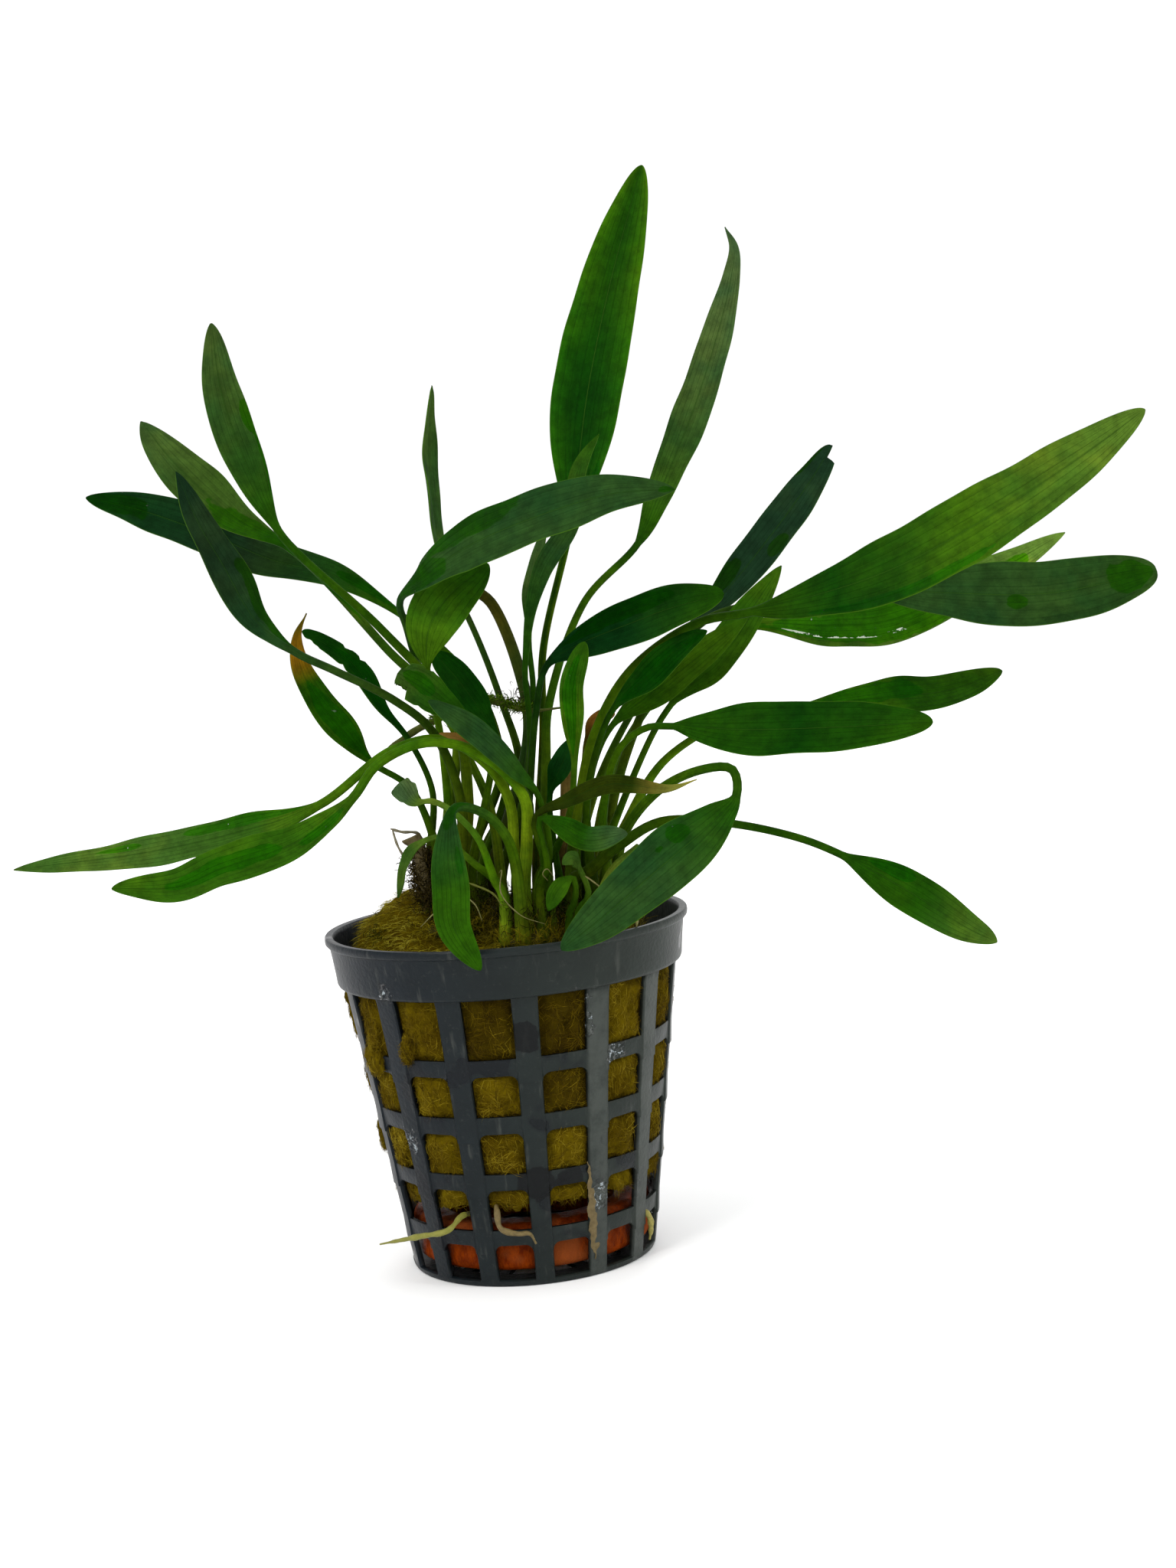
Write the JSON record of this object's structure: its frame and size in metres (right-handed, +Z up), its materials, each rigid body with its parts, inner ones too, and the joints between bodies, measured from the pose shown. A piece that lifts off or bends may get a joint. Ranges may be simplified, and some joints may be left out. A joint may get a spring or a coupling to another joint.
{
  "type": "potted aquarium plant",
  "caption": "Clump of strap-leaved aquarium plants with long stalks, growing in rock wool in a small black net pot with a clay weight ring.",
  "frame": {"origin": "centre of the underside of the pot's floor", "axes": "+Z up along the pot's axis, -Y towards the side shown first, +X to its right"},
  "size_m": [0.1705, 0.0655, 0.1606],
  "materials": {
    "pot_plastic": "satin black",
    "fired_clay": "unglazed, damp",
    "rock_wool": "fibrous, damp",
    "crown": "fibrous plant base",
    "leaf_mid_green": "satin leaf",
    "leaf_dark_green": "damp leaf",
    "leaf_grey_green": "matte leaf",
    "leaf_glaucous": "bluish matte leaf",
    "leaf_olive_green": "satin leaf",
    "leaf_yellow_green": "satin leaf",
    "leaf_brown": "dry dead leaf",
    "twig": "damp and mossy",
    "root": "pale root"
  },
  "bodies": {
    "root": {"net_pot": "pot_plastic", "clay_ring": "fired_clay", "rock_wool": "rock_wool", "crown_front": "crown", "crown_left": "crown", "crown_back_left": "crown", "crown_centre": "crown", "crown_right_front": "crown", "crown_right_back": "crown", "leaf_tall": "leaf_mid_green", "leaf_upright_right": "leaf_grey_green", "leaf_folded": "leaf_grey_green", "leaf_narrow": "leaf_grey_green", "leaf_dark_right": "leaf_dark_green", "leaf_front_arch": "leaf_glaucous", "leaf_young": "leaf_mid_green", "leaf_far_left": "leaf_dark_green", "leaf_edge_on": "leaf_grey_green", "leaf_left_olive": "leaf_olive_green", "leaf_beside_torn": "leaf_dark_green", "leaf_left_upright": "leaf_mid_green", "leaf_left_glaucous": "leaf_glaucous", "leaf_yellow_green": "leaf_yellow_green", "leaf_torn_dark": "leaf_dark_green", "leaf_torn_back": "leaf_dark_green", "leaf_brown_tipped": "leaf_dark_green", "leaf_low_left_front": "leaf_mid_green", "leaf_low_left_back": "leaf_mid_green", "leaf_hanging": "leaf_glaucous", "leaf_grey_tip": "leaf_yellow_green", "leaf_yellowed": "leaf_olive_green", "leaf_mid_glaucous": "leaf_glaucous", "leaf_short_pale": "leaf_yellow_green", "leaf_thin_left": "leaf_olive_green", "leaf_brown_edged": "leaf_brown", "leaf_right_broad": "leaf_mid_green", "leaf_pair_front": "leaf_dark_green", "leaf_pair_back": "leaf_dark_green", "leaf_right_hidden": "leaf_mid_green", "leaf_right_level": "leaf_dark_green", "leaf_drooping": "leaf_glaucous", "leaf_low_right": "leaf_mid_green", "leaf_right_long": "leaf_yellow_green", "leaf_bright_corner": "leaf_yellow_green", "leaf_right_notched": "leaf_glaucous", "leaf_right_blunt": "leaf_glaucous", "leaf_dead": "leaf_brown", "leaf_inner_dark": "leaf_dark_green", "leaf_seedling_upper": "leaf_yellow_green", "leaf_seedling_lower": "leaf_mid_green", "stalk_bare_brown": "leaf_olive_green", "stalk_dead_tan": "leaf_brown", "stalk_cut_green": "leaf_mid_green", "moss_twig": "twig", "root_escaping": "root"}
  },
  "joints": []
}
